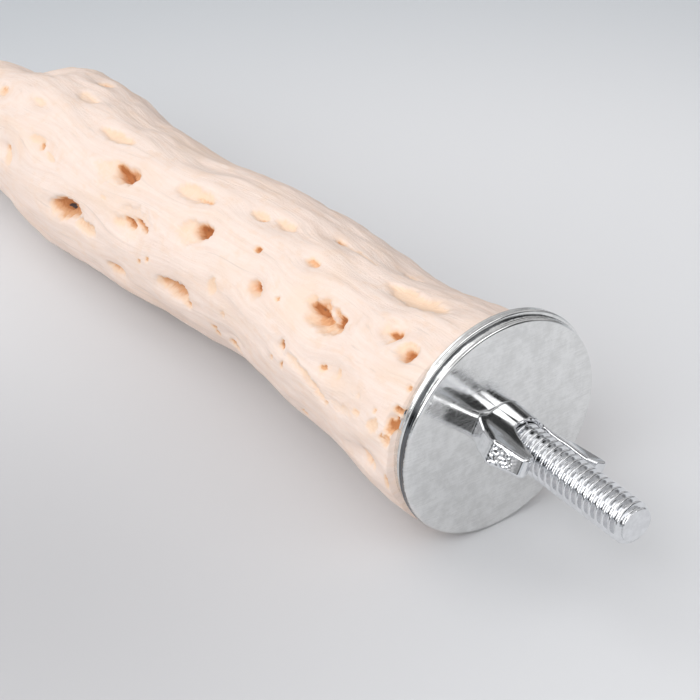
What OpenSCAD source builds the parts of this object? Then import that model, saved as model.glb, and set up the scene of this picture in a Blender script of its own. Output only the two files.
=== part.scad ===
// Natural wood bird perch that is bolted to a cage wall.
// A pitted stick, a hanger bolt screwed into its swollen end, two large washers and a wing nut.
// The bolt lies along X, up is Z, and the origin is the middle of the plane where the washers meet.

/* [Stick] */
// Length of the wooden stick
stick_length = 152; // [120:1:240]
// Usual diameter of the stick
stick_diameter = 28; // [24:0.5:32]
// Diameter of the swollen end that the bolt is screwed into
flare_diameter = 33; // [28:0.2:34.6]
// Length over which the swollen end runs out
flare_length = 24; // [12:1:40]
// How far the far end lies to the side of the bolt's line
side_bend = 11.4; // [0:0.2:20]
// How far the far end hangs below the bolt's line
drop_bend = 3.4; // [0:0.2:10]
// Rounding of the sawn far end
end_rounding = 6; // [2:0.5:8]
// Depth of the deepest pits
pit_depth = 2.6; // [0.5:0.1:3.5]
// Height of the knob that a cut branch left near the far end
knob_height = 2; // [0:0.1:3.5]

/* [Hanger bolt] */
// Outer diameter of the machine thread
thread_diameter = 6.35; // [4:0.05:8]
// Length of the stud beyond the face of the outer washer
stud_length = 27.5; // [18:0.5:40]
// Chamfer on the tip of the stud
tip_chamfer = 0.9; // [0.3:0.1:1.5]
// How far the stud reaches into the wood before the wood screw starts
stud_inset = 3; // [1:0.5:8]
// Diameter of the wood screw, between its crests and its roots
screw_diameter = 5.4; // [3:0.1:6]
// Length of the wood screw with its point
screw_length = 25; // [15:1:45]
// Length of the point
screw_point = 6; // [3:0.5:10]

/* [Washers] */
// Outer diameter of both washers
washer_diameter = 35; // [28:0.5:45]
// Play of both washers on the stud, across the hole
washer_play = 0.85; // [0.3:0.05:2]
// Thickness of both washers
washer_thickness = 1.3; // [0.8:0.1:2.5]
// Rounding that the punch leaves round the edge of a washer
washer_rounding = 0.35; // [0.1:0.05:0.6]

/* [Wing nut] */
// Wall of the hub round the thread
hub_wall = 1; // [0.8:0.1:3]
// Height of the hub
hub_height = 4.7; // [3:0.1:8]
// Bevel round the top of the hub
hub_bevel = 0.5; // [0.1:0.1:0.7]
// Distance from tip to tip of the wings
wing_span = 19.6; // [17:0.2:30]
// Height of the wings above the washer
wing_height = 12.6; // [10:0.2:18]
// Thickness of a wing at its tip
wing_thickness = 3.8; // [2:0.1:5]
// Thickness of a wing at its root
root_thickness = 5.8; // [4:0.1:7]
// Rounding of a wing's tip, seen from the side
tip_radius = 2.6; // [1.5:0.1:3]
// Rounding of a wing's shoulder, seen from the side
shoulder_radius = 1.9; // [1:0.1:2.4]
// Bevel round the rim of a wing
rim_bevel = 0.7; // [0.2:0.1:0.9]
// Angle of the wings round the stud, from the Y axis
wing_turn = 155; // [0:5:180]

/* [Fits] */
// Clearance round the wood screw and the stud in the wood
bore_clearance = 0.05; // [0:0.01:0.2]
// Clearance between the nut and the stud
thread_clearance = 0.05; // [0.02:0.01:0.2]

/* [Hidden] */

$fn = 96;
hull_facets = 32;
stick_sides = 48;
stick_rings = 90;
end_rings = 8;
end_turn = 75;
overrun = 1;

wood_colour = [0.97, 0.91, 0.85];
zinc_colour = [0.77, 0.78, 0.80];

// Faces along the bolt
stick_face = -washer_thickness;
nut_face = washer_thickness;
stud_tip = nut_face + stud_length;

// Each washer lies off the stud's line by a share of its play, one up and one down
offset_share = 0.8;
washer_offset = offset_share * washer_play / 2;

// Middle line and girth of the stick at even steps from the washer to the far end,
// as shares of side_bend, drop_bend and stick_diameter
side_shares = [0.158, 0.21, 0.21, 0.16, 0.28, 0.465, 0.535, 0.52, 0.58, 0.82, 1];
drop_shares = [0, 0.15, 0.24, 0.19, 0.38, 0.5, 0.65, 0.765, 0.71, 0.95, 1];
girth_shares = [1, 1.02, 1.04, 1.01, 1.015, 0.99, 1.02, 1.085, 0.99, 0.75, 0.66];

// Pits of one flank: place as a share of the stick's length, turn round the stick in degrees,
// then length and width as shares of stick_diameter and depth as a share of pit_depth
pit_shares = [
    [0.532, 124, 0.34, 0.17, 0.8],
    [0.594, 172, 0.46, 0.17, 0.9],
    [0.478, 153, 0.3, 0.18, 0.8],
    [0.381, 134, 0.22, 0.17, 0.9],
    [0.263, 147, 0.18, 0.15, 0.7],
    [0.394, 183, 0.3, 0.13, 0.8],
    [0.156, 132, 0.4, 0.27, 1],
    [0.068, 119, 0.24, 0.17, 0.8],
    [0.034, 127, 0.16, 0.12, 0.6],
    [0.19, 164, 0.14, 0.12, 0.4],
    [0.29, 194, 0.3, 0.13, 0.6],
    [0.113, 157, 0.34, 0.13, 0.5],
    [0.041, 190, 0.32, 0.16, 0.8],
    [0.005, 156, 0.22, 0.14, 0.5],
    [0.678, 142, 0.34, 0.17, 0.6],
    [0.592, 104, 0.45, 0.16, 0.4],
    [0.425, 114, 0.48, 0.17, 0.45],
    [0.73, 119, 0.38, 0.15, 0.45],
    [0.693, 91, 0.44, 0.18, 0.45],
    [0.301, 102, 0.5, 0.16, 0.5],
    [0.088, 91, 0.6, 0.17, 0.55],
    [0.142, 67, 0.34, 0.15, 0.5],
    [0.236, 84, 0.34, 0.15, 0.5],
    [0.812, 127, 0.34, 0.17, 0.6],
    [0.745, 161, 0.34, 0.17, 0.7],
    [0.501, 197, 0.24, 0.14, 0.6],
    [0.222, 111, 0.16, 0.12, 0.5],
    [0.72, 71, 0.3, 0.15, 0.5],
    [0.447, 84, 0.4, 0.16, 0.4],
    [0.881, 149, 0.32, 0.16, 0.6],
    [0.886, 86, 0.3, 0.16, 0.5],
];
// The same flank comes again on the other side of the stick, moved along by a share of the length
flank_turn = 180;
flank_shift_share = 0.04;
// The pits lean with the grain, and their walls fall away by a bell curve that ends at their edge
pit_lean = 8;
pit_edge = 4;
pit_steepness = 1.4;
// The knob: its place as a share of the length and its turn, then how far it runs toward the bolt,
// toward the far end and round the stick, as shares of stick_diameter
knob_place_share = 0.848;
knob_turn = 45;
knob_run_shares = [0.32, 0.07];
knob_width_share = 0.2;
// Two gentle lobes in the stick's section, as shares of its radius
lobe_shares = [0.018, 0.012];

// Value of an even table at a share of its length, joined by a smooth curve
function smooth_at(table, share) =
    let (
        last = len(table) - 1,
        place = min(share, 0.9999) * last,
        i = floor(place),
        t = place - i,
        a = table[max(i - 1, 0)],
        b = table[i],
        c = table[i + 1],
        d = table[min(i + 2, last)]
    )
    b + t * (c - a + t * (2 * a - 5 * b + 4 * c - d + t * (3 * (b - c) + d - a))) / 2;

// Smallest turn between two directions
function turn_between(a, b) = let (d = (a - b) % 360) d > 180 ? d - 360 : (d < -180 ? d + 360 : d);

// Swelling at the washer end and rounding at the far end
function flare_at(along) =
    along > flare_length ? 0 : (flare_diameter - stick_diameter) / 4 * (1 + cos(180 * along / flare_length));
function rounding_at(along) =
    let (into = max(0, along - stick_length + end_rounding))
    end_rounding - sqrt(end_rounding * end_rounding - into * into);

function girth_at(along) =
    stick_diameter / 2 * smooth_at(girth_shares, along / stick_length) + flare_at(along) - rounding_at(along);

// Depth of one pit at a place on the stick
function pit_at(pit, along, turn, radius, flank) =
    let (
        far = along - (pit[0] + flank * flank_shift_share) * stick_length,
        round = turn_between(turn, pit[1] + flank * flank_turn) * PI / 180 * radius,
        a = (far * cos(pit_lean) + round * sin(pit_lean)) / (pit[2] * stick_diameter / 2),
        b = (round * cos(pit_lean) - far * sin(pit_lean)) / (pit[3] * stick_diameter / 2),
        reach = a * a + b * b
    )
    reach > pit_edge ? 0 : pit_depth * pit[4] * exp(-reach * pit_steepness);

function pits_at(along, turn, radius) =
    let (depths = [for (flank = [0, 1]) for (pit = pit_shares) pit_at(pit, along, turn, radius, flank)])
    min(max(depths), pit_depth);

// Height of the knob, which rises slowly from the bolt's side and falls off steeply
function knob_at(along, turn, radius) =
    let (
        far = along - knob_place_share * stick_length,
        a = far / (knob_run_shares[far > 0 ? 1 : 0] * stick_diameter),
        b = turn_between(turn, knob_turn) * PI / 180 * radius / (knob_width_share * stick_diameter)
    )
    knob_height * exp(-a * a - b * b);

function lobes_at(along, turn) =
    lobe_shares[0] * cos(2 * turn + 360 * along / stick_length)
    + lobe_shares[1] * cos(3 * turn - 540 * along / stick_length);

function stick_point(along, turn) =
    let (
        share = along / stick_length,
        girth = girth_at(along),
        lobed = girth * (1 + lobes_at(along, turn)),
        radius = lobed + knob_at(along, turn, girth) - pits_at(along, turn, girth)
    )
    [
        stick_face - along,
        radius * cos(turn) - side_bend * smooth_at(side_shares, share),
        radius * sin(turn) - drop_bend * smooth_at(drop_shares, share)
    ];

// Rings are close together where the far end is rounded
function ring_place(i) =
    let (
        body_rings = stick_rings - end_rings,
        body_length = stick_length - end_rounding,
        turn = end_turn * (i - body_rings) / end_rings
    )
    i <= body_rings ? body_length * i / body_rings : body_length + end_rounding * sin(turn) / sin(end_turn);

module stick_body() {
    points = [
        for (i = [0 : stick_rings])
            for (s = [0 : stick_sides - 1])
                stick_point(ring_place(i), 360 * s / stick_sides)
    ];
    walls = [
        for (i = [0 : stick_rings - 1])
            for (s = [0 : stick_sides - 1])
                let (a = i * stick_sides + s, b = i * stick_sides + (s + 1) % stick_sides)
                each [[a, b, b + stick_sides], [a, b + stick_sides, a + stick_sides]]
    ];
    near_cap = [for (s = [stick_sides - 1 : -1 : 0]) s];
    far_cap = [for (s = [0 : stick_sides - 1]) stick_rings * stick_sides + s];
    polyhedron(points = points, faces = concat(walls, [near_cap, far_cap]), convexity = 6);
}

// A round bar along X
module bar(start, finish, start_radius, finish_radius) {
    translate([start, 0, 0])
        rotate([0, 90, 0])
            cylinder(h = finish - start, r1 = start_radius, r2 = finish_radius);
}

module perch_stick() {
    screw_start = stick_face - stud_inset;
    screw_end = screw_start - screw_length;
    stud_hole = thread_diameter / 2 + bore_clearance;
    screw_hole = screw_diameter / 2 + bore_clearance;
    color(wood_colour)
        difference() {
            stick_body();
            bar(screw_start - bore_clearance, stick_face + overrun, stud_hole, stud_hole);
            bar(screw_end + screw_point, screw_start + bore_clearance, screw_hole, screw_hole);
            bar(screw_end - bore_clearance, screw_end + screw_point, bore_clearance, screw_hole);
        }
}

module hanger_bolt() {
    screw_start = stick_face - stud_inset;
    screw_end = screw_start - screw_length;
    thread_radius = thread_diameter / 2;
    screw_radius = screw_diameter / 2;
    color(zinc_colour)
        union() {
            bar(screw_start, stud_tip - tip_chamfer, thread_radius, thread_radius);
            bar(stud_tip - tip_chamfer, stud_tip, thread_radius, thread_radius - tip_chamfer);
            bar(screw_end + screw_point, screw_start, screw_radius, screw_radius);
            bar(screw_end, screw_end + screw_point, 0, screw_radius);
        }
}

// A flat ring whose far face has the punch's rounded edge
module washer() {
    outer_radius = washer_diameter / 2;
    inner_radius = (thread_diameter + washer_play) / 2;
    rounded_edge = [
        for (turn = [0 : 15 : 90])
            [
                outer_radius - washer_rounding * (1 - cos(turn)),
                washer_thickness - washer_rounding * (1 - sin(turn))
            ]
    ];
    rotate([0, 90, 0])
        rotate_extrude()
            polygon(concat(
                [[inner_radius, 0], [outer_radius, 0]],
                rounded_edge,
                [[inner_radius, washer_thickness]]
            ));
}

module inner_washer() {
    color(zinc_colour)
        translate([-washer_thickness, 0, washer_offset])
            washer();
}

module outer_washer() {
    color(zinc_colour)
        translate([0, 0, -washer_offset])
            washer();
}

// A disc across a wing, bevelled round its rim
module wing_disc(height, reach, radius) {
    for (bevel = [0, rim_bevel])
        translate([height, reach, -wing_thickness / 2 + bevel])
            cylinder(h = wing_thickness - 2 * bevel, r = radius - rim_bevel + bevel, $fn = hull_facets);
}

// One wing: a thick root on the hub, a shoulder, and a rounded tip that leans outward
module wing(hub_radius) {
    shoulder_height_share = 0.58;
    shoulder_reach_share = 0.97;
    shoulder_height = shoulder_height_share * wing_height;
    shoulder_reach = shoulder_reach_share * wing_span / 2 - shoulder_radius;
    tip_reach = wing_span / 2 - tip_radius;
    hull() {
        translate([0, 0, -root_thickness / 2])
            cube([hub_height - hub_bevel, hub_radius, root_thickness]);
        wing_disc(shoulder_height, shoulder_reach, shoulder_radius);
        wing_disc(wing_height - tip_radius, tip_reach, tip_radius);
    }
}

module wing_nut() {
    bore_radius = thread_diameter / 2 + thread_clearance;
    hub_radius = bore_radius + hub_wall;
    color(zinc_colour)
        translate([nut_face, 0, 0])
            difference() {
                union() {
                    bar(0, hub_height - hub_bevel, hub_radius, hub_radius);
                    bar(hub_height - hub_bevel, hub_height, hub_radius, hub_radius - hub_bevel);
                    for (side = [0, 180])
                        rotate([wing_turn + side, 0, 0])
                            wing(hub_radius);
                }
                bar(-overrun, wing_height + overrun, bore_radius, bore_radius);
            }
}

perch_stick();
hanger_bolt();
inner_washer();
outer_washer();
wing_nut();
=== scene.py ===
"""A natural wood bird perch: a pitted stick, a hanger bolt, two washers and a wing nut."""

import math
from itertools import product

import bpy
import numpy as np
from mathutils import Matrix, Vector


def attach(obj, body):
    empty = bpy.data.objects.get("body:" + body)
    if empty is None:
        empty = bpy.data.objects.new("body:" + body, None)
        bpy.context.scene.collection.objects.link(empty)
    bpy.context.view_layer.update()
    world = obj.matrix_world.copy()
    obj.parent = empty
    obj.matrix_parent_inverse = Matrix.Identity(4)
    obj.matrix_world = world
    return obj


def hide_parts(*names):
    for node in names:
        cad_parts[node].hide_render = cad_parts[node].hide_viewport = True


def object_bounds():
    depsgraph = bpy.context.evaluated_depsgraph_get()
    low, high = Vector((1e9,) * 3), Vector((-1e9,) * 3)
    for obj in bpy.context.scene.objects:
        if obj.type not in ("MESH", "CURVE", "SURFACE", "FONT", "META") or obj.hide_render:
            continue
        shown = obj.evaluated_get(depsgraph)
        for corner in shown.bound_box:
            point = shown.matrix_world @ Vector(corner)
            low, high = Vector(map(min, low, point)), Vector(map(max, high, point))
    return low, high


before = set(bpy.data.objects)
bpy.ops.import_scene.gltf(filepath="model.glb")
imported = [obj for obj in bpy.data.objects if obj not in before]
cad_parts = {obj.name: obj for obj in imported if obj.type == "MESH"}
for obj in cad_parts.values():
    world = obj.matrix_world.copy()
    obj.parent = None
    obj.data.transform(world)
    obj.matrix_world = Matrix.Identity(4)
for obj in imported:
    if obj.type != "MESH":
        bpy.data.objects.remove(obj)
cad_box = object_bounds()

MM = 0.001

# Sizes of the stick's solid, in millimetres
STICK_LENGTH = 152.0
STICK_DIAMETER = 28.0
FLARE_DIAMETER = 33.0
FLARE_LENGTH = 24.0
SIDE_BEND = 11.4
DROP_BEND = 3.4
END_ROUNDING = 6.0
PIT_DEPTH = 2.6
KNOB_HEIGHT = 2.0

# Sizes of the hanger bolt
THREAD_RADIUS = 6.35 / 2
THREAD_PITCH = 1.27
STUD_LENGTH = 27.5
STUD_INSET = 3.0
TIP_CHAMFER = 0.9
SCREW_RADIUS = 5.4 / 2
SCREW_LENGTH = 25.0
SCREW_POINT = 6.0
SCREW_PITCH = 2.1

# Sizes of the washers
WASHER_RADIUS = 35.0 / 2
WASHER_PLAY = 0.85
WASHER_THICKNESS = 1.3
WASHER_ROUNDING = 0.35
OFFSET_SHARE = 0.8

# Clearances of the nut on the thread, and of the bolt in the stick
THREAD_CLEARANCE = 0.05
BORE_CLEARANCE = 0.05

# Sizes of the wing nut
BORE_RADIUS = THREAD_RADIUS + THREAD_CLEARANCE
HUB_WALL = 1.0
HUB_RADIUS = BORE_RADIUS + HUB_WALL
HUB_HEIGHT = 4.7
WING_HEIGHT = 12.6
WING_SPAN = 19.6
WING_THICKNESS = 3.8
ROOT_THICKNESS = 5.8
WING_TURN = 155.0

STICK_FACE = -WASHER_THICKNESS
NUT_FACE = WASHER_THICKNESS
STUD_TIP = NUT_FACE + STUD_LENGTH
WASHER_OFFSET = OFFSET_SHARE * WASHER_PLAY / 2

# How far the stick's skin stays inside the CAD box
BOX_MARGIN = 0.01

# Middle line and girth of the stick at even steps, as in its solid
SIDE_SHARES = [0.158, 0.21, 0.21, 0.16, 0.28, 0.465, 0.535, 0.52, 0.58, 0.82, 1]
DROP_SHARES = [0, 0.15, 0.24, 0.19, 0.38, 0.5, 0.65, 0.765, 0.71, 0.95, 1]
GIRTH_SHARES = [1, 1.02, 1.04, 1.01, 1.015, 0.99, 1.02, 1.085, 0.99, 0.75, 0.66]
LOBE_SHARES = [0.018, 0.012]
KNOB_PLACE_SHARE = 0.848
KNOB_TURN = math.radians(45)
KNOB_RUN_SHARES = [0.32, 0.07]
KNOB_WIDTH_SHARE = 0.2

# Bowls of one flank, as in the solid: place, turn in degrees, length, width and depth
PIT_SHARES = [
    [0.532, 124, 0.34, 0.17, 0.8],
    [0.594, 172, 0.46, 0.17, 0.9],
    [0.478, 153, 0.3, 0.18, 0.8],
    [0.381, 134, 0.22, 0.17, 0.9],
    [0.263, 147, 0.18, 0.15, 0.7],
    [0.394, 183, 0.3, 0.13, 0.8],
    [0.156, 132, 0.4, 0.27, 1],
    [0.068, 119, 0.24, 0.17, 0.8],
    [0.034, 127, 0.16, 0.12, 0.6],
    [0.19, 164, 0.14, 0.12, 0.4],
    [0.29, 194, 0.3, 0.13, 0.6],
    [0.113, 157, 0.34, 0.13, 0.5],
    [0.041, 190, 0.32, 0.16, 0.8],
    [0.005, 156, 0.22, 0.14, 0.5],
    [0.678, 142, 0.34, 0.17, 0.6],
    [0.592, 104, 0.45, 0.16, 0.4],
    [0.425, 114, 0.48, 0.17, 0.45],
    [0.73, 119, 0.38, 0.15, 0.45],
    [0.693, 91, 0.44, 0.18, 0.45],
    [0.301, 102, 0.5, 0.16, 0.5],
    [0.088, 91, 0.6, 0.17, 0.55],
    [0.142, 67, 0.34, 0.15, 0.5],
    [0.236, 84, 0.34, 0.15, 0.5],
    [0.812, 127, 0.34, 0.17, 0.6],
    [0.745, 161, 0.34, 0.17, 0.7],
    [0.501, 197, 0.24, 0.14, 0.6],
    [0.222, 111, 0.16, 0.12, 0.5],
    [0.72, 71, 0.3, 0.15, 0.5],
    [0.447, 84, 0.4, 0.16, 0.4],
    [0.881, 149, 0.32, 0.16, 0.6],
    [0.886, 86, 0.3, 0.16, 0.5],
]
FLANK_TURN = 180
FLANK_SHIFT_SHARE = 0.04
UPPER_TURN = math.radians(60)
PIT_LEAN = math.radians(8)
PIT_STEEPNESS = 1.4
BOWL_DEPTH_SHARE = 0.5

# Holes in and beside the bowls: place as a share of the length, turn in degrees, half length,
# half width and depth in millimetres, lean in degrees, then how brown the hole is.
# One with a depth below zero is a pale ridge.
HOLES = [
    [0.545, 128, 5.0, 2.3, 0.3, 8, 0.2],
    [0.527, 123.5, 3.1, 1.5, 1.5, 5, 0.58],
    [0.537, 123, 2.1, 0.9, 0.5, -8, 0.88],
    [0.604, 172, 4.3, 1.9, 1.5, 19, 0.74],
    [0.608, 173, 1.0, 0.7, 0.7, 19, 1.35],
    [0.588, 168, 2.0, 0.8, 0.4, 0, 0.88],
    [0.557, 176, 3.6, 1.2, 0.6, 6, 0.42],
    [0.478, 153, 4.6, 3.0, 0.3, 8, 0.14],
    [0.487, 154, 1.6, 0.75, 0.9, -21, 0.78],
    [0.468, 151, 2.7, 0.5, 1.0, -15, 0.82],
    [0.501, 157, 1.2, 0.8, 0.3, 0, 0.35],
    [0.388, 139, 3.2, 2.2, 0.4, 8, 0.24],
    [0.379, 134, 2.4, 1.25, 1.5, 0, 0.86],
    [0.679, 142, 0.8, 0.7, 0.6, 0, 0.62],
    [0.691, 139.5, 2.4, 0.8, 0.25, 12, 0.32],
    [0.654, 145, 1.8, 0.6, 0.25, -8, 0.3],
    [0.59, 104, 4.6, 1.1, 0.5, 4, 0.33],
    [0.425, 113.5, 4.6, 1.5, 0.6, 0, 0.27],
    [0.408, 114, 2.4, 0.5, 0.4, -2, 0.45],
    [0.716, 70, 1.4, 1.3, 0.5, 0, 0.45],
    [0.689, 93, 2.8, 1.3, 0.4, 4, 0.24],
    [0.737, 118, 2.0, 0.8, 0.3, 4, 0.24],
    [0.816, 124, 1.3, 1.0, 0.4, 0, 0.45],
    [0.747, 160, 0.8, 0.8, 0.4, 0, 0.55],
    [0.741, 167, 1.3, 1.2, 0.3, 0, 0.32],
    [0.506, 197, 2.3, 1.1, 0.9, 0, 0.62],
    [0.396, 182, 3.8, 1.5, 1.4, 4, 0.72],
    [0.394, 180.5, 1.5, 0.6, 0.5, 4, 0.98],
    [0.374, 188, 1.6, 0.9, 0.4, -20, 0.4],
    [0.371, 190, 0.6, 0.5, 0.3, 0, 0.6],
    [0.328, 164, 1.2, 1.4, 0.3, 0, 0.34],
    [0.305, 178, 0.6, 0.5, 0.3, 0, 0.42],
    [0.452, 176, 0.45, 0.4, 0.3, 0, 0.6],
    [0.439, 171, 0.5, 0.45, 0.3, 0, 0.6],
    [0.327, 195, 0.6, 0.5, 0.3, 0, 0.6],
    [0.326, 200, 0.6, 0.6, 0.3, 0, 0.6],
    [0.296, 203, 1.6, 0.8, 0.6, -10, 0.62],
    [0.292, 127, 0.65, 0.55, 0.6, 0, 0.78],
    [0.263, 147, 1.9, 1.15, 0.8, 0, 0.45],
    [0.266, 146.5, 0.9, 0.65, 0.6, 0, 0.85],
    [0.332, 106, 2.2, 0.9, 0.5, 0, 0.33],
    [0.325, 108, 0.8, 0.5, 0.3, 0, 0.5],
    [0.297, 101, 2.4, 0.9, 0.5, 2, 0.3],
    [0.221, 111, 1.4, 0.7, 0.5, 6, 0.52],
    [0.22, 142, 0.5, 0.45, 0.4, 0, 0.55],
    [0.154, 133.5, 4.7, 2.1, 1.2, -4, 0.46],
    [0.175, 131, 1.3, 0.8, 0.8, 0, 0.9],
    [0.163, 134, 1.6, 1.2, 0.6, -20, 0.66],
    [0.142, 129.5, 1.9, 0.9, 0.9, 12, 0.86],
    [0.157, 129, 1.3, 0.6, -0.5, -30, 0],
    [0.07, 121, 2.4, 1.5, 0.35, 8, 0.16],
    [0.069, 119, 1.1, 0.65, 0.7, 8, 0.82],
    [0.064, 123, 0.5, 1.2, 0.3, 0, 0.36],
    [0.036, 125, 1.9, 1.5, 0.5, 0, 0.32],
    [0.032, 126.5, 1.2, 1.0, 1.0, 0, 0.78],
    [0.189, 162, 0.55, 0.65, 0.7, 0, 0.85],
    [0.187, 163, 0.35, 0.35, 0.3, 0, 1.2],
    [0.203, 174, 0.4, 0.4, 0.3, 0, 0.52],
    [0.184, 173, 0.45, 0.45, 0.4, 0, 0.7],
    [0.125, 158.5, 0.85, 0.5, 0.4, 15, 0.62],
    [0.099, 155, 0.45, 0.9, 0.3, 0, 0.36],
    [0.165, 166, 2.3, 0.75, 0.4, -12, 0.24],
    [0.14, 170.5, 2.5, 0.75, 0.5, -14, 0.27],
    [0.121, 173.5, 1.7, 0.6, 0.45, -12, 0.3],
    [0.107, 175, 0.6, 0.35, 0.3, 0, 0.5],
    [0.08, 171, 3.2, 0.7, 0.2, 8, 0.18],
    [0.056, 166, 0.9, 0.35, 0.2, 0, 0.4],
    [0.09, 92, 7.0, 1.8, 0.6, -2, 0.32],
    [0.141, 70, 1.8, 1.1, 0.4, 0, 0.24],
    [0.235, 84, 1.1, 0.5, 0.6, 6, 0.64],
    [0.197, 83, 5.2, 0.3, 0.25, 0, 0.3],
    [0.004, 139.5, 0.5, 0.5, 0.4, 0, 0.6],
    [0.031, 158, 0.35, 0.5, 0.3, 0, 0.52],
    [0.059, 157, 0.5, 0.6, 0.2, 0, 0.2],
    [0.004, 151.5, 0.9, 0.6, 0.6, 0, 0.72],
    [0.005, 160, 1.2, 1.5, 0.9, 0, 0.84],
    [0.009, 156.5, 0.6, 0.6, -0.3, 0, 0],
    [0.028, 166, 1.1, 1.2, 0.3, 0, 0.38],
    [0.014, 168, 0.5, 0.4, 0.3, 0, 0.6],
    [0.006, 168.5, 0.9, 0.9, 0.4, 0, 0.5],
    [0.041, 189, 1.1, 1.6, 0.8, 0, 0.62],
    [0.029, 192, 0.6, 0.8, 0.3, 0, 0.32],
    [0.005, 193, 0.45, 1.6, 0.4, 0, 0.55],
    [0.164, 206, 0.9, 0.5, 0.4, 0, 0.7],
    [0.537, 147, 0.9, 0.3, 0.2, -5, 0.36],
]

# Soft hollows round the knob, and a swelling past it: place, turn, half length, half width, depth
HOLLOWS = [
    [0.847, 64, 6.5, 4.6, 2.3],
    [0.813, 80, 5.5, 3.2, 1.9],
    [0.868, 44, 2.5, 4.0, 1.3],
    [0.88, 92, 6.5, 4.5, -0.9],
]

# The photograph's view
CAMERA_PLACE = (0.15432, -0.13713, 0.14792)
CAMERA_RIGHT = Vector((0.585, 0.811, 0.0))
CAMERA_FORWARD = Vector((-0.677, 0.4885, -0.5505))
CAMERA_LENS = 91.03


def make_camera():
    data = bpy.data.cameras.new("camera")
    data.lens = CAMERA_LENS
    data.sensor_width = 36.0
    data.clip_start = 0.01
    camera = bpy.data.objects.new("camera", data)
    back = -CAMERA_FORWARD.normalized()
    right = (CAMERA_RIGHT - CAMERA_RIGHT.dot(back) * back).normalized()
    turn = Matrix((right, back.cross(right), back)).transposed()
    camera.matrix_world = Matrix.Translation(CAMERA_PLACE) @ turn.to_4x4()
    bpy.context.scene.collection.objects.link(camera)
    bpy.context.scene.camera = camera


# Noise on a lattice of random values, the same on every run
LATTICE_SIDE = 64
LATTICE = np.random.default_rng(11).random((LATTICE_SIDE,) * 3)


def smooth_noise(points):
    """Soft noise from -1 to 1 at each point of an array whose last axis is x, y and z."""
    cell = np.floor(points).astype(int)
    t = points - cell
    t = t * t * (3 - 2 * t)
    total = np.zeros(points.shape[:-1])
    for corner in product((0, 1), repeat=3):
        spot = (cell + corner) % LATTICE_SIDE
        weight = np.prod(np.where(corner, t, 1 - t), axis=-1)
        total += weight * LATTICE[spot[..., 0], spot[..., 1], spot[..., 2]]
    return 2 * total - 1


def layered_noise(points, layers=3):
    """Noise with finer and weaker layers added."""
    return sum(smooth_noise(points * 2**i + 17.3 * i) / 2**i for i in range(layers)) / 1.5


def smooth_step(low, high, value):
    t = np.clip((value - low) / (high - low), 0, 1)
    return t * t * (3 - 2 * t)


def new_piece(name, points, faces, body, node, material, attributes=None):
    """Makes a smooth-shaded piece from points in millimetres, which stands for a CAD node."""
    mesh = bpy.data.meshes.new(name)
    sizes = np.array([len(face) for face in faces], dtype=np.int32)
    corners = np.concatenate([np.asarray(face, dtype=np.int32) for face in faces])
    mesh.vertices.add(len(points))
    mesh.vertices.foreach_set("co", (np.asarray(points) * MM).astype(np.float32).ravel())
    mesh.loops.add(len(corners))
    mesh.loops.foreach_set("vertex_index", corners)
    mesh.polygons.add(len(sizes))
    mesh.polygons.foreach_set("loop_start", np.cumsum(sizes) - sizes)
    mesh.polygons.foreach_set("loop_total", sizes)
    mesh.update(calc_edges=True)
    mesh.validate()
    mesh.shade_smooth()
    for key, values in (attributes or {}).items():
        kind, field = ("FLOAT_VECTOR", "vector") if values.ndim == 2 else ("FLOAT", "value")
        layer = mesh.attributes.new(key, kind, "POINT")
        layer.data.foreach_set(field, values.astype(np.float32).ravel())
    mesh.materials.append(material)
    piece = bpy.data.objects.new(name, mesh)
    bpy.context.scene.collection.objects.link(piece)
    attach(piece, body)
    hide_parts(node)
    return piece


def ring_points(x, radius, turn):
    """Points round the stud's line, from the place along it, the radius and the turn."""
    spread = np.broadcast_arrays(x, radius * np.cos(turn), radius * np.sin(turn))
    return np.stack(spread, axis=-1)


def ring_faces(rings, sides):
    """Four-cornered faces that join closed rings of points, one after another."""
    a = np.arange(rings - 1)[:, None] * sides + np.arange(sides)
    b = np.arange(rings - 1)[:, None] * sides + (np.arange(sides) + 1) % sides
    return list(np.stack([a, b, b + sides, a + sides], axis=-1).reshape(-1, 4))


def closed_faces(rings, sides):
    """Faces of closed rings and of the fans at their end and start, round the two last points."""
    faces = ring_faces(rings, sides)
    count = rings * sides
    last = count - sides
    for i in range(sides):
        j = (i + 1) % sides
        faces.append([last + i, last + j, count])
        faces.append([j, i, count + 1])
    return faces


# The stick


def smooth_at(table, share):
    """Value of an even table at a share of its length, joined by a smooth curve."""
    table = np.asarray(table)
    last = len(table) - 1
    place = np.minimum(share, 0.9999) * last
    i = np.floor(place).astype(int)
    t = place - i
    a, b = table[np.maximum(i - 1, 0)], table[i]
    c, d = table[i + 1], table[np.minimum(i + 2, last)]
    return b + t * (c - a + t * (2 * a - 5 * b + 4 * c - d + t * (3 * (b - c) + d - a))) / 2


def stick_girth(along):
    flare = (FLARE_DIAMETER - STICK_DIAMETER) / 4
    flare = np.where(along > FLARE_LENGTH, 0, flare * (1 + np.cos(np.pi * along / FLARE_LENGTH)))
    into = np.maximum(0, along - STICK_LENGTH + END_ROUNDING)
    rounding = END_ROUNDING - np.sqrt(np.maximum(END_ROUNDING**2 - into**2, 0))
    return STICK_DIAMETER / 2 * smooth_at(GIRTH_SHARES, along / STICK_LENGTH) + flare - rounding


def stick_lobes(along, turn):
    wave = 2 * np.pi * along / STICK_LENGTH
    return LOBE_SHARES[0] * np.cos(2 * turn + wave) + LOBE_SHARES[1] * np.cos(3 * turn - 1.5 * wave)


def stick_axis(along):
    share = along / STICK_LENGTH
    side = -SIDE_BEND * smooth_at(SIDE_SHARES, share)
    drop = -DROP_BEND * smooth_at(DROP_SHARES, share)
    return side, drop


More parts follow.
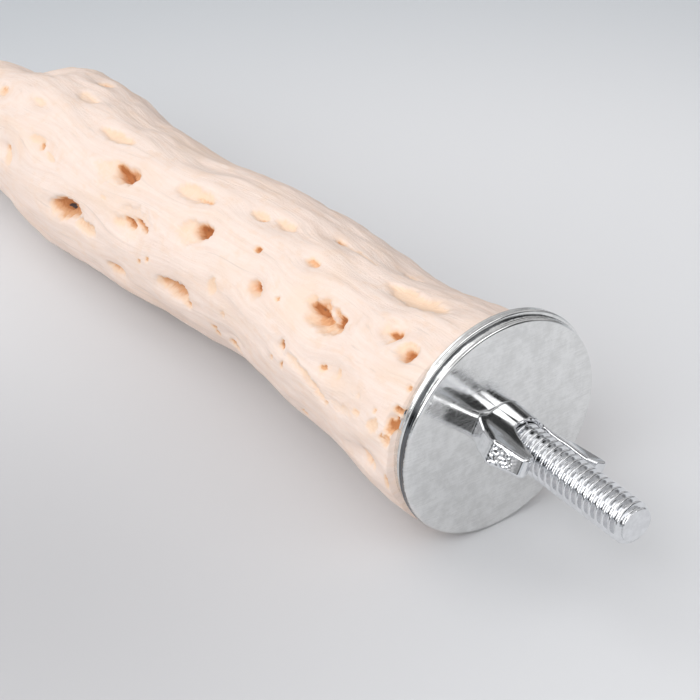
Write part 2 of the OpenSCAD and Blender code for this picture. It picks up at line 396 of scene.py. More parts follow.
def way_round(turn, middle, girth):
    """The shorter way round the stick from a middle turn, in millimetres."""
    return ((turn - middle + np.pi) % (2 * np.pi) - np.pi) * girth


def stick_knob(along, turn, girth):
    far = along - KNOB_PLACE_SHARE * STICK_LENGTH
    run = np.where(far > 0, KNOB_RUN_SHARES[1], KNOB_RUN_SHARES[0]) * STICK_DIAMETER
    width = KNOB_WIDTH_SHARE * STICK_DIAMETER
    around = way_round(turn, KNOB_TURN, girth)
    return KNOB_HEIGHT * np.exp(-((far / run) ** 2) - (around / width) ** 2)


def reach_from(along, turn, girth, share, degrees, half_length, half_width, lean):
    """Place in a pit's own measure, along it and across it, and the way round the stick to it."""
    far = along - share * STICK_LENGTH
    around = way_round(turn, math.radians(degrees), girth)
    a = (far * math.cos(lean) + around * math.sin(lean)) / half_length
    b = (around * math.cos(lean) - far * math.sin(lean)) / half_width
    return a, b, around


def hole_shape(a, b):
    """How far each place is inside a torn hole, from 0 to 1, and its distance from the middle."""
    # One wall is steep and the other one slopes out. The steep one is nearer the top of the stick
    # on the photographed flank, and nearer its underside on the other one
    reach = np.sqrt(a * a + b * b * np.where(b < 0, 1.2, 0.75))
    slope = np.clip(0.75 + 0.5 * b, 0.3, 1.1)
    return 1 - smooth_step(1.15 - 0.55 * slope, 1.15, reach), reach


def carve(along, turn, girth):
    """Depth of the pits at each place, their stain with painted shade on the holes' steep walls, and how
    far they push the grain aside.
    """
    depth, stain_and_shade, push = np.zeros_like(girth), np.zeros_like(girth), np.zeros_like(girth)
    place = ring_points(along, girth, turn)
    warp_along = layered_noise(place * 0.8) + 0.4 * smooth_noise(place * 2.7)
    warp_round = layered_noise(place * 0.8 + 31.7) + 0.4 * smooth_noise(place * 2.7 + 31.7)
    size = STICK_DIAMETER / 2
    for flank in (0, 1):
        shift, swing = flank * FLANK_SHIFT_SHARE, flank * FLANK_TURN
        for share, degrees, length, width, pit_depth in PIT_SHARES:
            spot = (share + shift, degrees + swing)
            a, b, around = reach_from(along, turn, girth, *spot, length * size, width * size, PIT_LEAN)
            reach = a * a + b * b
            bowl = np.exp(-reach * PIT_STEEPNESS)
            depth = np.maximum(depth, BOWL_DEPTH_SHARE * pit_depth * PIT_DEPTH * bowl)
            stain_and_shade = np.maximum(stain_and_shade, 0.1 * bowl)
            push -= around * 0.75 * np.exp(-reach / 2.4)
            # Low rims at the two ends of a bowl
            rim = np.exp(-((reach - 3.2) ** 2)) * (np.abs(a) > np.abs(b))
            depth -= 0.1 * pit_depth * PIT_DEPTH * rim
        for share, degrees, half_length, half_width, hole_depth, lean, brown in HOLES:
            spot = (share + shift, degrees + swing)
            lean = math.radians(lean)
            a, b, _ = reach_from(along, turn, girth, *spot, half_length, half_width, lean)
            a = a + 0.4 * warp_along / max(1, half_length**0.5)
            b = b + 0.4 * warp_round
            inside, reach = hole_shape(a, b)
            depth = depth + hole_depth * inside
            if hole_depth < 0:
                stain_and_shade = stain_and_shade * (1 - 0.8 * inside)
            else:
                # Painted shade: each hole is browner towards its steep upper wall and paler towards its
                # sloping side
                brown_with_painted_shade = brown * np.clip(1 - 0.2 * (b + 0.3), 0.65, 1.1)
                halo = 0.1 * brown * np.exp(-reach * reach * 0.7)
                stain_and_shade = np.maximum(stain_and_shade, brown_with_painted_shade * np.sqrt(inside) + halo)
    for share, degrees, half_length, half_width, hollow in HOLLOWS:
        a, b, _ = reach_from(along, turn, girth, share, degrees, half_length, half_width, 0)
        depth = depth + hollow * np.exp(-a * a - b * b)
    return depth, stain_and_shade, push


def stick_skin(along, turn):
    """Points of the stick's skin with its grain's direction, and its stain with painted shade in the
    holes.
    """
    girth = stick_girth(along) + 0 * turn
    depth, stain_and_shade, push = carve(along + 0 * turn, turn + 0 * along, girth)
    grain_turn = turn + push / girth
    grain = ring_points(along, girth, grain_turn)
    lumps = layered_noise(grain * (0.07, 0.13, 0.13), 2)
    knobs = layered_noise(grain * (0.17, 0.24, 0.24) + 2.7, 2)
    ridges = layered_noise(grain * (0.07, 0.6, 0.6) + 5.1)
    fine = layered_noise(grain * (0.3, 1.9, 1.9) + 9.4, 2)
    top = smooth_step(0.75, 0.98, np.cos(turn - UPPER_TURN))
    relief = 0.35 * lumps + 0.36 * knobs + (0.15 + 0.1 * top) * ridges + (0.06 + 0.07 * top) * fine
    radius = girth * (1 + stick_lobes(along, turn)) + stick_knob(along, turn, girth) - depth + relief
    side, drop = stick_axis(along)
    place = np.stack(
        [
            STICK_FACE - along + 0 * turn,
            np.maximum(radius * np.cos(turn) + side, cad_box[0].y / MM + BOX_MARGIN),
            np.maximum(radius * np.sin(turn) + drop, cad_box[0].z / MM + BOX_MARGIN),
        ],
        axis=-1,
    )
    return place, grain, stain_and_shade


SKIN_RINGS = 380
SKIN_SIDES = 234
CAP_RINGS = 26
MOUTH_RINGS = 6
# Rings in the rounded far end, and how many degrees their arc goes round
END_RINGS = 24
END_SWEEP = 75
FLANK_FACE = math.radians(131)


def skin_turns():
    """Turns round the stick, closer together on the two pitted flanks."""
    even = np.linspace(0, 2 * np.pi, SKIN_SIDES, endpoint=False)
    return even - 0.15 * np.sin(2 * (even - FLANK_FACE))


def make_stick(material):
    turn = skin_turns()[None, :]
    body_end = STICK_LENGTH - END_ROUNDING
    # Rings lie closer together near the washer
    steps = np.linspace(0, 1, SKIN_RINGS - END_RINGS, endpoint=False)
    straight = body_end * (0.72 * steps + 0.28 * steps**2)
    sweep = np.radians(np.linspace(0, END_SWEEP, END_RINGS))
    bent = body_end + END_ROUNDING * np.sin(sweep) / math.sin(math.radians(END_SWEEP))
    along = np.concatenate([straight, bent])[:, None]
    skin, grain, stain_and_shade = stick_skin(along, turn)
    side, drop = stick_axis(np.array([0.0, STICK_LENGTH]))

    # The sawn far end, with growth rings and a small pith
    middle = np.array([STICK_FACE - STICK_LENGTH, side[1], drop[1]])
    shares = np.linspace(1, 0, CAP_RINGS + 1)[1:-1, None, None]
    cap = middle + (skin[-1] - middle) * shares
    reach = np.linalg.norm(cap[..., 1:] - middle[1:], axis=-1)
    rings = np.sin(reach * 4.2 + 1.5 * smooth_noise(cap * 0.3))
    cap[..., 0] += 0.05 + 0.04 * rings + 0.1 * smooth_step(0.8, 0.2, reach)
    cap_grain = np.stack([cap[..., 0] + reach * 0.6, cap[..., 1], cap[..., 2]], axis=-1)
    cap_stain = 0.16 + 0.05 * rings + 0.5 * smooth_step(1.4, 0.4, reach)

    # The face under the washer and the hole for the bolt
    ledge = STICK_FACE - STUD_INSET
    wide, narrow = THREAD_RADIUS + BORE_CLEARANCE, SCREW_RADIUS + BORE_CLEARANCE
    hole = [
        (STICK_FACE, wide),
        (ledge - BORE_CLEARANCE, wide),
        (ledge - BORE_CLEARANCE, narrow),
        (ledge - SCREW_LENGTH + SCREW_POINT, narrow),
        (ledge - SCREW_LENGTH, BORE_CLEARANCE),
    ]
    bore = np.array([ring_points(x, radius, turn[0]) for x, radius in hole])
    shares = np.linspace(0, 1, MOUTH_RINGS + 2)[1:-1, None, None]
    mouth = skin[0] + (bore[0] - skin[0]) * shares
    bore = np.concatenate([bore[::-1], mouth[::-1]])

    layers = np.concatenate([bore, skin, cap])
    points = np.concatenate([layers.reshape(-1, 3), [middle + (0.15, 0, 0)], [bore[0].mean(axis=0)]])
    faces = closed_faces(len(layers), SKIN_SIDES)
    grains = np.concatenate([bore, grain, cap_grain]).reshape(-1, 3)
    grains = np.concatenate([grains, points[-2:]])
    stains_and_shade = np.concatenate([0 * bore[..., 0], stain_and_shade, cap_stain]).ravel()
    stains_and_shade = np.concatenate([stains_and_shade, [0.7, 0]])
    return new_piece(
        "stick", points, faces, "perch", "perch_stick", material,
        {"grain": grains, "stain_and_shade": stains_and_shade},
    )


# The hanger bolt


def thread_radius(x, turn):
    """Radius of the machine thread, whose crests and roots are flats with rounded corners."""
    phase = (x / THREAD_PITCH - turn / (2 * np.pi)) % 1
    flank = np.abs(phase - 0.5) * 2
    depth = 0.6 * THREAD_PITCH
    return THREAD_RADIUS - depth * smooth_step(0.14, 0.74, flank)


def screw_radius(x, turn):
    """Radius of the wood screw's sharp coarse thread."""
    phase = (x / SCREW_PITCH - turn / (2 * np.pi)) % 1
    crest = np.exp(-((np.abs(phase - 0.5) * 2) ** 2) * 14)
    return SCREW_RADIUS - 0.55 + 1.0 * crest


BOLT_SIDES = 96
SCREW_RINGS = 150
STUD_RING_STEP = 0.062


def make_bolt(material):
    turn = np.linspace(0, 2 * np.pi, BOLT_SIDES, endpoint=False)[None, :]
    joint = STICK_FACE - STUD_INSET
    point_end = joint - SCREW_LENGTH
    screw = np.linspace(point_end + 0.05, joint, SCREW_RINGS, endpoint=False)
    stud = np.arange(joint, STUD_TIP - 0.02, STUD_RING_STEP)
    x = np.concatenate([screw, stud, [STUD_TIP]])[:, None]
    coarse = screw_radius(x, turn) * smooth_step(joint, joint - 1.5, x)
    coarse = np.maximum(coarse, (SCREW_RADIUS - 0.5) * (x < joint))
    point = (x - point_end) / SCREW_POINT * SCREW_RADIUS
    coarse = np.minimum(coarse, np.maximum(point, 0.02))
    fine = thread_radius(x, turn)
    scars = layered_noise(ring_points(x, 3, turn) * 1.7)
    fine = fine - 0.02 - 0.02 * scars
    chamfer = THREAD_RADIUS - np.maximum(0, x - STUD_TIP + TIP_CHAMFER) * 0.62
    fine = np.minimum(fine, chamfer)
    radius = np.where(x < joint, coarse, fine)
    body = ring_points(x, radius, turn)

    # The cropped end is a little sunk and rough
    shares = np.linspace(1, 0, 16)[1:-1, None, None]
    middle = np.array([STUD_TIP, 0, 0])
    cap = middle + (body[-1] - middle) * shares
    cap[..., 0] -= 0.03 + 0.05 * (layered_noise(cap * 1.3) + 0.6)
    cap[0, :, 0] += 0.03
    layers = np.concatenate([body, cap])
    points = np.concatenate([layers.reshape(-1, 3), [[STUD_TIP - 0.05, 0, 0]], [[point_end, 0, 0]]])
    faces = closed_faces(len(layers), BOLT_SIDES)
    return new_piece("bolt", points, faces, "perch", "hanger_bolt", material)


# The washers

WASHER_SIDES = 288
ROLL_WIDTH = 1.9
ROLL_DROP = 0.06


def washer_profile(inner, rim):
    """Radius and height of a punched washer's section, from the hole's back edge round the rim."""
    profile = [(inner, 0.1), (inner + 0.1, 0.0)]
    profile += [(r, 0.0) for r in np.linspace(inner + 0.6, rim - 0.4, 8)]
    # The torn band and the smooth band of the rim
    profile += [(rim - 0.06, 0.0)]
    profile += [(rim - 0.02 - 0.03 * i / 4, 0.04 + 0.5 * i / 4) for i in range(5)]
    profile += [(rim, 0.58 + 0.34 * i / 4) for i in range(5)]
    # The rolled front edge
    for angle in np.radians(np.linspace(0, 80, 9)):
        radius = rim - WASHER_ROUNDING * (1 - math.cos(angle))
        height = WASHER_THICKNESS - ROLL_DROP - WASHER_ROUNDING * (1 - math.sin(angle))
        profile.append((radius, height))
    for share in np.linspace(0.25, 1, 8):
        radius = rim - WASHER_ROUNDING - share * (ROLL_WIDTH - WASHER_ROUNDING)
        height = WASHER_THICKNESS - ROLL_DROP * (1 - smooth_step(0, 1, share))
        profile.append((radius, height))
    # The front face and the hole's front edge
    profile += [(r, WASHER_THICKNESS) for r in np.linspace(rim - ROLL_WIDTH - 0.3, inner + 0.3, 24)]
    profile += [(inner + 0.05, WASHER_THICKNESS - 0.02), (inner, WASHER_THICKNESS - 0.12)]
    return np.array(profile)


def make_washer(name, body, node, start, lift, taper, material, seed):
    """A washer whose rim narrows by a taper: to the front, or to a torn back if it is below zero."""
    rim = WASHER_RADIUS
    profile = washer_profile(THREAD_RADIUS + WASHER_PLAY / 2, rim)
    turn = np.linspace(0, 2 * np.pi, WASHER_SIDES, endpoint=False)[None, :]
    radius, height = profile[:, :1] + 0 * turn, profile[:, 1:] + 0 * turn
    torn = smooth_step(0.6, 0.5, height) * smooth_step(rim - 0.3, rim - 0.1, radius)
    teeth = layered_noise(ring_points(height * 1.2 + seed, rim * 2.4, turn))
    radius = radius - torn * (0.05 + 0.05 * teeth) * max(0, -taper) * 8
    away = height if taper > 0 else WASHER_THICKNESS - height
    radius = radius - abs(taper) * away * smooth_step(rim - 0.6, rim - 0.2, radius)
    layers = ring_points(start + height, radius, turn)
    layers[..., 2] += lift
    points = layers.reshape(-1, 3)
    faces = ring_faces(len(layers), WASHER_SIDES)
    first = np.arange(WASHER_SIDES)
    last = first + (len(layers) - 1) * WASHER_SIDES
    step = np.roll(first, -1)
    faces += list(np.stack([last, last[step], first[step], first], axis=-1))
    return new_piece(name, points, [face[::-1] for face in faces], body, node, material)


# The wing nut


def surface_net(field, low, high, step):
    """Closed surface where a field of distances is zero, with one point in each cube it crosses."""
    axes = [np.arange(a, b + step, step) for a, b in zip(low, high)]
    grid = np.stack(np.meshgrid(*axes, indexing="ij"), axis=-1)
    values = field(grid)
    inside = values < 0
    cells = tuple(n - 1 for n in values.shape)

    def corner(array, i, j, k):
        return array[i : i + cells[0], j : j + cells[1], k : k + cells[2]]

    count = sum(corner(inside, *c).astype(int) for c in product((0, 1), repeat=3))
    crossed = (count > 0) & (count < 8)
    index = np.full(cells, -1)
    index[crossed] = np.arange(crossed.sum())
    total, number = np.zeros((crossed.sum(), 3)), np.zeros((crossed.sum(), 1))
    for axis in range(3):
        for start in product((0, 1), repeat=3):
            if start[axis]:
                continue
            end = tuple(1 if i == axis else v for i, v in enumerate(start))
            a, b = corner(values, *start)[crossed], corner(values, *end)[crossed]
            cut = (a < 0) != (b < 0)
            share = np.where(cut, a / np.where(cut, a - b, 1), 0)
            place = np.tile(np.array(start, dtype=float), (len(a), 1))
            place[:, axis] = share
            total += place * cut[:, None]
            number += cut[:, None]
    points = (np.argwhere(crossed) + total / number) * step + np.array(low)
    faces = []
    for axis in range(3):
        u, v = (axis + 1) % 3, (axis + 2) % 3
        head = [slice(None)] * 3
        tail = [slice(None)] * 3
        head[axis], tail[axis] = slice(0, -1), slice(1, None)
        a, b = inside[tuple(head)], inside[tuple(tail)]
        for flip in (False, True):
            spots = np.argwhere((a & ~b) if not flip else (~a & b))
            spots = spots[(spots[:, u] > 0) & (spots[:, v] > 0)]
            ring = []
            for du, dv in ((-1, -1), (0, -1), (0, 0), (-1, 0)):
                cell = spots.copy()
                cell[:, u] += du
                cell[:, v] += dv
                ring.append(index[tuple(cell.T)])
            quads = np.stack(ring[::-1] if flip else ring, axis=-1)
            faces.append(quads)
    return points, np.concatenate(faces)


def settle(points, field, rounds=4, reach=0.01):
    """Moves points onto the zero surface of a field, along its slope."""
    for _ in range(rounds):
        slope = np.zeros_like(points)
        for axis in range(3):
            step = np.zeros(3)
            step[axis] = reach
            slope[:, axis] = (field(points + step) - field(points - step)) / (2 * reach)
        size = np.maximum((slope**2).sum(axis=1, keepdims=True), 0.25)
        points = points - np.clip(field(points)[:, None] * slope / size, -0.06, 0.06)
    return points


def outline_distance(u, v, outline):
    """Distance from a closed outline, below zero inside it."""
    best = np.full(u.shape, 1e9)
    inside = np.zeros(u.shape, dtype=bool)
    for (ax, ay), (bx, by) in zip(outline, outline[1:] + outline[:1]):
        ex, ey = bx - ax, by - ay
        wx, wy = u - ax, v - ay
        t = np.clip((wx * ex + wy * ey) / (ex * ex + ey * ey), 0, 1)
        best = np.minimum(best, (wx - t * ex) ** 2 + (wy - t * ey) ** 2)
        crosses = (ay > v) != (by > v)
        with np.errstate(divide="ignore", invalid="ignore"):
            edge = ax + ex * (v - ay) / ey if ey else np.full(u.shape, np.inf)
        inside ^= crosses & (u < edge)
    return np.sqrt(best) * np.where(inside, -1, 1)


def arc(centre, radius, start, finish, steps=8):
    angles = np.radians(np.linspace(start, finish, steps))
    return [(centre[0] + radius * math.cos(a), centre[1] + radius * math.sin(a)) for a in angles]


# Outlines of the two wings, one of which is a little bent: distance from the stud's line, then
# height above the washer
WING_OUTLINE = (
    [(2.0, 0.05), (5.6, 0.05), (6.1, 0.8), (8.1, 3.8), (9.3, 6.3)]
    + arc((9.15, 7.6), 0.7, -20, 40, 5)
    + arc((7.15, 11.55), 1.0, 35, 130, 6)
    + arc((6.9, 10.6), 1.75, 135, 178, 5)
    + [(4.6, 8.1), (3.5, 5.4), (2.0, 4.4)]
)
BENT_OUTLINE = (
    [(2.0, 0.05), (5.1, 0.05), (5.4, 2.0), (6.1, 4.6), (7.7, 8.0), (9.3, 11.6)]
    + arc((8.8, 12.1), 0.5, -10, 100, 5)
    + [(7.2, 12.5), (6.0, 11.4), (4.9, 8.6), (3.5, 5.4), (2.0, 4.4)]
)
EDGE_ROUNDING = 0.45
OUTER_EDGE_ROUNDING = 0.35
HUB_TAPER = 0.07
HUB_EDGE_ROUNDING = 0.22
CORNER_FLAT = 0.28
# Distances from the stud's line between which a wing's thick root fades
ROOT_START = 2.9
ROOT_END = 6.6
# Least radius in the nut's thread, and the greatest of its countersunk mouth
THREAD_CREST_RADIUS = 2.75
MOUTH_RADIUS = 4


def rounded(first, second, rounding):
    """Joins two distances as the inside of both, with a rounded edge between them."""
    a, b = first + rounding, second + rounding
    return np.minimum(np.maximum(a, b), 0) + np.hypot(np.maximum(a, 0), np.maximum(b, 0)) - rounding


def chamfered(first, second, width):
    """Joins two distances as either of them, with a narrow flat in the corner between them."""
    return np.minimum(np.minimum(first, second), (first + second - width) * math.sqrt(0.5))


def nut_field(points):
    """Distance from the wing nut. Its points are height above the washer, along and across the wings."""
    height, along, across = points[..., 0], points[..., 1], points[..., 2]
    radius = np.hypot(along, across)
    hub_radius = HUB_RADIUS - HUB_TAPER * height
    ends = np.abs(height - HUB_HEIGHT / 2) - HUB_HEIGHT / 2
    hub = rounded(radius - hub_radius, ends, HUB_EDGE_ROUNDING)
    reach = np.abs(along)
    spread = np.clip((ROOT_END - reach) / (ROOT_END - ROOT_START), 0, 1) ** 2
    half = WING_THICKNESS / 2 + (ROOT_THICKNESS - WING_THICKNESS) / 2 * spread
    # A shallow dish in each wing, and a thinner tip
    half = half - 0.12 * np.exp(-((reach - 7.2) ** 2 + (height - 8.5) ** 2) / 3)
    half = half - 0.4 * smooth_step(7.5, 12.2, height)
    straight = outline_distance(reach, height, WING_OUTLINE)
    bent = outline_distance(reach, height, BENT_OUTLINE)
    edge = np.where(along > 0, straight, bent)
    # The outer edges are rounder near the washer
    round_edge = OUTER_EDGE_ROUNDING * smooth_step(8.2, 5.5, height) * smooth_step(3.4, 5.0, reach)
    wing = rounded(edge, np.abs(across) - half, EDGE_ROUNDING + round_edge)
    solid = chamfered(hub, wing, CORNER_FLAT)
    angle = np.arctan2(across, along) + math.radians(WING_TURN)
    thread = thread_radius(height + NUT_FACE, angle) + THREAD_CLEARANCE
    bore = np.maximum(thread, THREAD_CREST_RADIUS)
    mouth = BORE_RADIUS + np.maximum(height - HUB_HEIGHT + 0.3, 0)
    return np.maximum(solid, np.maximum(bore, np.minimum(mouth, MOUTH_RADIUS)) - radius)


NUT_STEP = 0.11


def roughen_nut(points):
    """Moves the nut's points for the marks of casting."""
    # The end of the straight wing is rough
    height, along = points[:, 0], np.abs(points[:, 1])
    end = smooth_step(8.9, 9.4, along + 0.45 * (height - 8)) * smooth_step(11.6, 10.2, height)
    end = end * (points[:, 1] > 0)
    rough = layered_noise(points * 4.2 + 3.3)
    points[:, 1] -= end * (0.04 + 0.06 * rough)
    # The hub's upper rim is a little torn
    radius = np.hypot(points[:, 1], points[:, 2])
    torn = smooth_step(4.1, 4.5, height) * smooth_step(3.2, 3.5, radius) * smooth_step(5.4, 5.1, height)
    torn = torn * smooth_step(4.6, 4.2, radius)
    points[:, 0] -= torn * (0.14 + 0.22 * layered_noise(points * 1.6 + 9.1))
    return points


def make_nut(material):
    margin = 3 * NUT_STEP
    low = (-margin, -WING_SPAN / 2 - margin, -HUB_RADIUS - margin)
    high = (WING_HEIGHT + margin, WING_SPAN / 2 + margin, HUB_RADIUS + margin)
    points, faces = surface_net(nut_field, low, high, NUT_STEP)
    points = roughen_nut(settle(points, nut_field))
    turn = math.radians(WING_TURN)
    y = points[:, 1] * math.cos(turn) - points[:, 2] * math.sin(turn)
    z = points[:, 1] * math.sin(turn) + points[:, 2] * math.cos(turn)
    points = np.stack([np.maximum(points[:, 0], 0) + NUT_FACE, y, z], axis=-1)
    return new_piece("nut", points, list(faces), "wing_nut", "wing_nut", material)


# Materials


class Nodes:
    """Short names for making and joining the nodes of a material or a world."""

    def __init__(self, owner, shader="Principled BSDF"):
        owner.use_nodes = True
        self.owner = owner
        self.tree = owner.node_tree
        self.shader = self.tree.nodes[shader]

    def add(self, kind, settings=None, **inputs):
        node = self.tree.nodes.new(kind)
        for key, value in (settings or {}).items():
            setattr(node, key, value)
        for key, value in inputs.items():
            self.join(value, node.inputs[key.replace("_", " ")])
        return node

    def join(self, value, socket):
        if isinstance(value, bpy.types.NodeSocket):
            self.tree.links.new(value, socket)
        else:
            socket.default_value = value

    def noise(self, vector, scale, detail=3.0, roughness=0.55):
        settings = {"Vector": vector, "Scale": scale, "Detail": detail, "Roughness": roughness}
        return self.add("ShaderNodeTexNoise", **settings).outputs["Fac"]

    def scaled(self, vector, scale):
        node = self.add("ShaderNodeVectorMath", {"operation": "MULTIPLY"})
        self.join(vector, node.inputs[0])
        node.inputs[1].default_value = scale
        return node.outputs[0]

    def math(self, operation, first, second, clamp=False):
        node = self.add("ShaderNodeMath", {"operation": operation, "use_clamp": clamp})
        self.join(first, node.inputs[0])
        self.join(second, node.inputs[1])
        return node.outputs[0]

    def spread(self, value, low, high, to_low=0.0, to_high=1.0):
        node = self.add("ShaderNodeMapRange", {"interpolation_type": "SMOOTHSTEP"}, Value=value)
        node.inputs["From Min"].default_value = low
        node.inputs["From Max"].default_value = high
        node.inputs["To Min"].default_value = to_low
        node.inputs["To Max"].default_value = to_high
        return node.outputs["Result"]

    def mix(self, share, first, second):
        node = self.add("ShaderNodeMix", {"data_type": "RGBA"})
        self.join(share, node.inputs["Factor"])
        self.join(first, node.inputs[6])
        self.join(second, node.inputs[7])
        return node.outputs[2]

    def bump(self, height, strength, distance):
        node = self.add("ShaderNodeBump", Height=height, Strength=strength, Distance=distance)
        return node.outputs["Normal"]


def linear(red, green, blue):
    """A colour given in steps from 0 to 255, as light."""

    def light(v):
        v = v / 255
        return v / 12.92 if v <= 0.04045 else ((v + 0.055) / 1.055) ** 2.4

    return (light(red), light(green), light(blue), 1.0)


def wood_material():
    n = Nodes(bpy.data.materials.new("bleached_wood"))
    grain = n.add("ShaderNodeAttribute", {"attribute_name": "grain"}).outputs["Vector"]
    # Stain of the pits, with painted shade on the holes' steep walls
    stain_and_shade = n.add("ShaderNodeAttribute", {"attribute_name": "stain_and_shade"}).outputs["Fac"]
    streaks = n.noise(n.scaled(grain, (0.05, 1.3, 1.3)), 1.0, 5.0, 0.6)
    patches = n.noise(n.scaled(grain, (0.06, 0.14, 0.14)), 1.0, 3.0)
    clouds = n.noise(n.scaled(grain, (0.35, 0.5, 0.5)), 1.0, 4.0, 0.6)
    speckle = n.noise(grain, 1.9, 4.0, 0.65)
    lines = n.noise(n.scaled(grain, (0.035, 1.9, 1.9)), 1.0, 3.0, 0.5)
    colour = n.mix(n.spread(streaks, 0.35, 0.7), linear(238, 220, 209), linear(235, 214, 201))
    colour = n.mix(n.spread(patches, 0.48, 0.75, 0.0, 0.5), colour, linear(235, 209, 187))
    colour = n.mix(n.spread(clouds, 0.48, 0.72, 0.0, 0.55), colour, linear(234, 207, 186))
    colour = n.mix(n.spread(lines, 0.58, 0.78, 0.0, 0.5), colour, linear(206, 190, 178))
    colour = n.mix(n.spread(speckle, 0.7, 0.8, 0.0, 0.6), colour, linear(214, 178, 150))
    edge = n.math("ADD", stain_and_shade, n.spread(speckle, 0.3, 0.7, -0.06, 0.06))
    colour = n.mix(n.spread(edge, 0.03, 0.36), colour, linear(239, 210, 184))
    colour = n.mix(n.spread(edge, 0.34, 0.62), colour, linear(222, 172, 130))
    colour = n.mix(n.spread(edge, 0.6, 0.85), colour, linear(184, 122, 76))
    colour = n.mix(n.spread(edge, 0.97, 1.1), colour, linear(80, 70, 70))
    n.join(colour, n.shader.inputs["Base Color"])
    n.join(n.spread(streaks, 0.3, 0.7, 0.62, 0.8), n.shader.inputs["Roughness"])
    n.shader.inputs["Specular IOR Level"].default_value = 0.25
    fibres = n.noise(n.scaled(grain, (0.12, 3.2, 3.2)), 1.0, 4.0, 0.6)
    pores = n.noise(grain, 2.6, 3.0, 0.6)
    height = n.math("ADD", n.math("MULTIPLY", streaks, 0.6), n.math("ADD", fibres, pores))
    n.join(n.bump(height, 0.6, 0.00016), n.shader.inputs["Normal"])
    return n.owner


METAL_BUMP = 0.12


def metal_material(name, tone, shine, mottle, scale, brushed=0.0, painted_gap_shade=False):
    """Zinc, cast or plated on steel: patches of crystal, fine scratches and uneven shine.

    mottle is how far the tone goes up and down, scale how small the patches are, brushed how much
    the scratches show, and the last flag paints dark shade of the gap between the washers on all of the
    back face and the back of the rim.
    """
    n = Nodes(bpy.data.materials.new(name))
    place = n.add("ShaderNodeTexCoord").outputs["Object"]
    patches = n.noise(place, scale, 5.0, 0.7)
    grains = n.noise(place, scale * 6, 3.0, 0.6)
    tilted = n.add("ShaderNodeMapping", Vector=place)
    tilted.inputs["Rotation"].default_value = (0.5, 0, 0)
    tilted.inputs["Scale"].default_value = (0.0, 300.0, 4200.0)
    scratches = n.noise(tilted.outputs["Vector"], 1.0, 4.0, 0.65)
    dark, pale = linear(*(c - mottle for c in tone)), linear(*(c + mottle for c in tone))
    marks = n.math("ADD", patches, n.math("MULTIPLY", scratches, brushed))
    colour = n.mix(n.spread(marks, 0.32 + 0.5 * brushed, 0.68 + 0.5 * brushed), dark, pale)
    specks = n.noise(place, scale * 7, 2.0, 0.6)
    colour = n.mix(n.spread(specks, 0.69, 0.8, 0.0, 0.5), colour, linear(150, 150, 152))
    if painted_gap_shade:
        # Painted shade of the gap between the washers, dark on all of the back face and the back of the
        # rim
        parts = n.add("ShaderNodeSeparateXYZ", Vector=place)
        x = parts.outputs["X"]
        width = n.spread(parts.outputs["Y"], -0.0168, -0.0105, 0.00078, 0.00022)
        width = n.math("ADD", width, n.spread(grains, 0.3, 0.7, -0.00008, 0.00008))
        share = n.spread(n.math("SUBTRACT", x, width), 0.0, 0.0001, 0.85, 0.0)
        colour = n.mix(share, colour, linear(72, 76, 82))
    n.join(colour, n.shader.inputs["Base Color"])
    n.shader.inputs["Metallic"].default_value = 1.0
    uneven = n.math("ADD", n.math("MULTIPLY", grains, 0.5), n.math("MULTIPLY", scratches, 0.5))
    n.join(n.spread(uneven, 0.35, 0.65, shine[0], shine[1]), n.shader.inputs["Roughness"])
    height = n.math("ADD", grains, n.math("MULTIPLY", scratches, 2 * brushed))
    n.join(n.bump(height, METAL_BUMP, 0.00002), n.shader.inputs["Normal"])
    return n.owner


FLOOR_SIZE = 40.0
# Tone of the paper far away, then round a middle in metres, between a start and an end, a tone that
# paints light and shade: a painted pool of light round the perch, and painted shade on its -y side
FLOOR_FAR = (192, 196, 200)
FLOOR_PAINTED_LIGHT = [
    ((0, 0, -0.018), (0.11, 0.25), (220, 221, 223)),
    ((-0.03, -0.07, -0.018), (0.0, 0.11), (193, 193, 195)),
]


def floor_material():
    n = Nodes(bpy.data.materials.new("paper"))
    place = n.add("ShaderNodeNewGeometry").outputs["Position"]
    colour = linear(*FLOOR_FAR)
    # Painted light: paler paper round the perch, and painted shade on its -y side
    for spot, reach, tone in FLOOR_PAINTED_LIGHT:
        away = n.add("ShaderNodeVectorMath", {"operation": "DISTANCE"})
        n.join(place, away.inputs[0])
        away.inputs[1].default_value = spot
        colour = n.mix(n.spread(away.outputs["Value"], *reach), linear(*tone), colour)
    n.join(colour, n.shader.inputs["Base Color"])
    n.shader.inputs["Roughness"].default_value = 0.9
    n.shader.inputs["Specular IOR Level"].default_value = 0.1
    return n.owner


# Floor and light


def make_floor():
    bpy.ops.mesh.primitive_plane_add(size=FLOOR_SIZE, location=(0, 0, cad_box[0].z))
    floor = bpy.context.object
    floor.name = "floor"
    floor.data.materials.append(floor_material())


# Brightness of the studio by the height of a direction, from straight down to straight up
SKY = [(0.0, 0.6), (0.5, 0.3), (0.57, 0.3), (0.65, 0.6), (0.9, 0.66), (0.96, 0.4), (1.0, 0.3)]
# Cards in the studio, bright or dark: direction, inner and outer half angle, and brightness added
CARDS = [
    ((0.19, 0.27, 0.94), 10, 20, -0.5),
    ((0.62, 0.68, 0.4), 8, 15, -0.65),
    ((0.9, 0.38, 0.25), 13, 22, -0.65),
    ((0.33, -0.93, 0.06), 9, 18, -0.4),
    ((-0.46, -0.87, 0.12), 11, 18, -0.6),
    ((-0.46, -0.72, 0.52), 11, 17, -0.75),
    ((0.6, 0.25, 0.76), 18, 23, 1.3),
    ((-0.8, -0.5, 0.33), 11, 19, 1.2),
    ((0.05, -0.85, 0.52), 14, 30, 0.5),
    ((-0.46, -0.25, 0.85), 12, 24, 0.9),
]


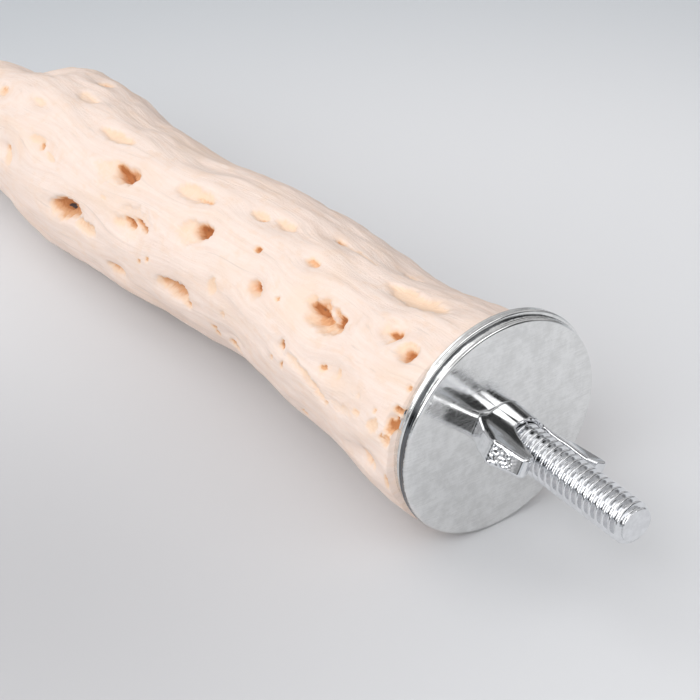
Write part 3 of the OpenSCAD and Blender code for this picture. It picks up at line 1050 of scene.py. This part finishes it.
def make_world():
    world = bpy.data.worlds.new("studio")
    bpy.context.scene.world = world
    n = Nodes(world, "Background")
    place = n.add("ShaderNodeTexCoord").outputs["Generated"]
    parts = n.add("ShaderNodeSeparateXYZ", Vector=place)
    ramp = n.add("ShaderNodeValToRGB")
    ramp.color_ramp.interpolation = "EASE"
    elements = ramp.color_ramp.elements
    while len(elements) < len(SKY):
        elements.new(0.5)
    for element, (position, value) in zip(elements, SKY):
        element.position = position
        element.color = (value, value, value, 1)
    height = n.math("ADD", n.math("MULTIPLY", parts.outputs["Z"], 0.5), 0.5)
    n.join(height, ramp.inputs["Fac"])
    # The side that the key lamp stands on is brighter
    side = n.spread(parts.outputs["Y"], -0.6, 0.6, 1.6, 0.92)
    light = n.math("MULTIPLY", ramp.outputs["Color"], side)
    for direction, inner, outer, amount in CARDS:
        dot = n.add("ShaderNodeVectorMath", {"operation": "DOT_PRODUCT"})
        n.join(place, dot.inputs[0])
        dot.inputs[1].default_value = Vector(direction).normalized()
        edges = math.cos(math.radians(outer)), math.cos(math.radians(inner))
        light = n.math("ADD", light, n.spread(dot.outputs["Value"], *edges, 0.0, amount))
    light = n.math("MAXIMUM", light, 0.04)
    tint = n.add("ShaderNodeCombineColor", Red=light, Green=light, Blue=n.math("MULTIPLY", light, 1.01))
    n.join(tint.outputs["Color"], n.shader.inputs["Color"])
    n.shader.inputs["Strength"].default_value = 1.0


def make_lamp(name, direction, distance, size, power):
    data = bpy.data.lights.new(name, "AREA")
    data.shape = "SQUARE"
    data.size = size
    data.energy = power
    lamp = bpy.data.objects.new(name, data)
    lamp.location = Vector(direction).normalized() * distance
    lamp.rotation_euler = Vector(direction).to_track_quat("Z", "Y").to_euler()
    bpy.context.scene.collection.objects.link(lamp)


make_camera()
make_floor()
make_world()
make_lamp("key", (0.25, -0.78, 0.57), distance=1.1, size=0.86, power=4.7)
bpy.context.scene.view_settings.view_transform = "Standard"

wood = wood_material()
bolt_zinc = metal_material("bolt_zinc", (228, 229, 231), (0.03, 0.1), mottle=8, scale=900)
nut_zinc = metal_material("nut_zinc", (228, 229, 231), (0.04, 0.11), mottle=8, scale=500)
washer_look = {"tone": (232, 232, 231), "shine": (0.08, 0.2), "mottle": 9, "scale": 420, "brushed": 0.6}
washer_zinc = metal_material("washer_zinc", **washer_look)
front_zinc = metal_material("front_zinc", **washer_look, painted_gap_shade=True)

make_stick(wood)
make_bolt(bolt_zinc)
make_washer(
    "washer_by_wood", "inner_washer", "inner_washer",
    start=-WASHER_THICKNESS, lift=WASHER_OFFSET, taper=-0.06, material=washer_zinc, seed=3.0,
)
make_washer(
    "washer_by_nut", "outer_washer", "outer_washer",
    start=0.0, lift=-WASHER_OFFSET, taper=0.14, material=front_zinc, seed=8.0,
)
make_nut(nut_zinc)
